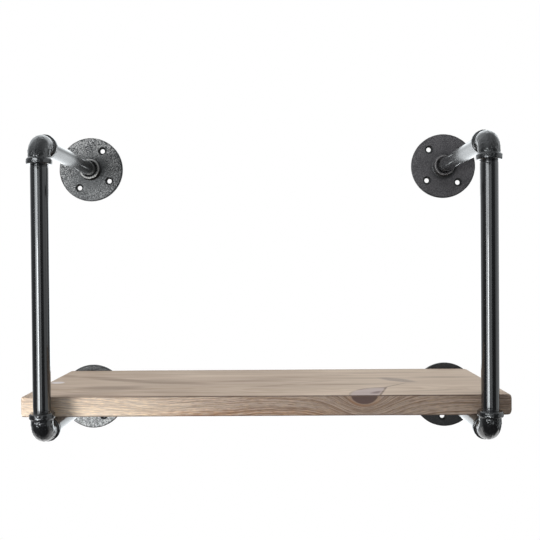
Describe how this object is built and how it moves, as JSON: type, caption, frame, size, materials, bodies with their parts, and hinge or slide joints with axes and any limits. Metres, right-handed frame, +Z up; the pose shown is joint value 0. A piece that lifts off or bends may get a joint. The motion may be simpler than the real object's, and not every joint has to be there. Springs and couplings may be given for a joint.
{
  "type": "wall-mounted pipe shelf",
  "caption": "Wall shelf with a stained wood board carried on a rectangular frame of black iron pipe, elbows and round floor flanges.",
  "frame": {"origin": "on the wall plane, midway between the axes of the two lower arms", "axes": "+X along the shelf to the right as seen from the front, +Y into the wall, -Y is the front, +Z up"},
  "size_m": [0.642, 0.2446, 0.45],
  "materials": {
    "pipe_paint": "smooth gloss black paint over steel pipe",
    "elbow_casting": "gloss black paint over a slightly pimpled casting",
    "flange_casting": "black-grey paint over a coarse sand casting",
    "board_wood": "grey-brown weathered stain on knotty softwood, matt"
  },
  "bodies": {
    "root": {"lower_left_arm": "pipe_paint", "lower_left_elbow": "elbow_casting", "lower_left_flange": "flange_casting", "lower_right_arm": "pipe_paint", "lower_right_elbow": "elbow_casting", "lower_right_flange": "flange_casting", "upper_left_arm": "pipe_paint", "upper_left_elbow": "elbow_casting", "upper_left_flange": "flange_casting", "upper_right_arm": "pipe_paint", "upper_right_elbow": "elbow_casting", "upper_right_flange": "flange_casting", "left_upright": "pipe_paint", "right_upright": "pipe_paint", "shelf_board": "board_wood"}
  },
  "joints": []
}
